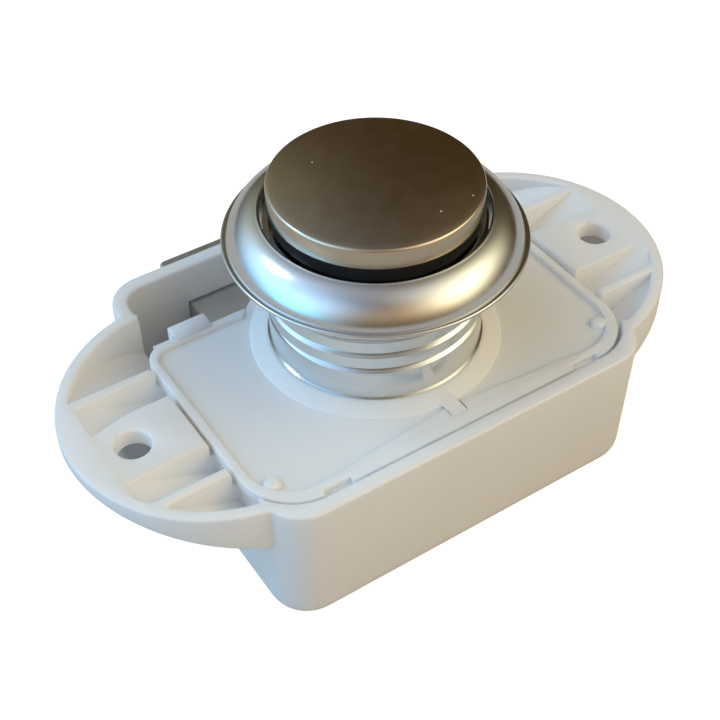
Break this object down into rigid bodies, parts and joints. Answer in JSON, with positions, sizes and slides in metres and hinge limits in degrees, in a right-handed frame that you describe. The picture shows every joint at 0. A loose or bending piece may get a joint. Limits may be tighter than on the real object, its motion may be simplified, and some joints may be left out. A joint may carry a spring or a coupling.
{
  "type": "pushbutton cabinet lock",
  "caption": "Flat white cabinet lock with screw ears, a threaded barrel with clamping rosette, a push-to-pop button that serves as a pull, and a spring bolt.",
  "frame": {"origin": "barrel axis on the plane of the case rim, which bears on the inner face of the door", "axes": "+Z along the barrel towards the button, +Y towards the bolt, +X along the line of the two screw holes"},
  "size_m": [0.082, 0.0538, 0.0419],
  "materials": {
    "white_plastic": "moulded, semi-gloss",
    "satin_silver": "satin plated",
    "satin_nickel": "satin plated",
    "black_plastic": "matt",
    "natural_plastic": "matt",
    "steel": "bright wire",
    "grey_zinc": "die cast, satin"
  },
  "bodies": {
    "case": {"case_body": "white_plastic", "cover_plate": "white_plastic", "barrel_tube": "satin_silver", "button_spring": "steel", "bolt_spring_left": "steel", "bolt_spring_right": "steel", "catch_wire": "steel"},
    "button": {"button_cap": "satin_nickel", "plunger": "black_plastic", "drive_slider": "natural_plastic", "drive_pin_left": "steel", "drive_pin_right": "steel"},
    "bolt": {"latch_bolt": "grey_zinc"},
    "rosette": {"rosette_ring": "satin_silver"}
  },
  "joints": [
    {"name": "button_press", "type": "slide", "parent": "case", "child": "button", "axis": [0, 0, 1], "range_m": [-0.0018, 0.009], "stiffness_N_per_m": 400, "deforming": ["button_spring", "catch_wire"]},
    {"name": "bolt_throw", "type": "slide", "parent": "case", "child": "bolt", "axis": [0, 1, 0], "range_m": [-0.0072, 0.00144], "deforming": ["bolt_spring_left", "bolt_spring_right"]},
    {"name": "rosette_screw", "type": "slide", "parent": "case", "child": "rosette", "axis": [0, 0, 1], "range_m": [-0.009, 0.03]}
  ],
  "couplings": [
    {"joint": "bolt_throw", "follows": "button_press", "ratio": -0.8}
  ]
}
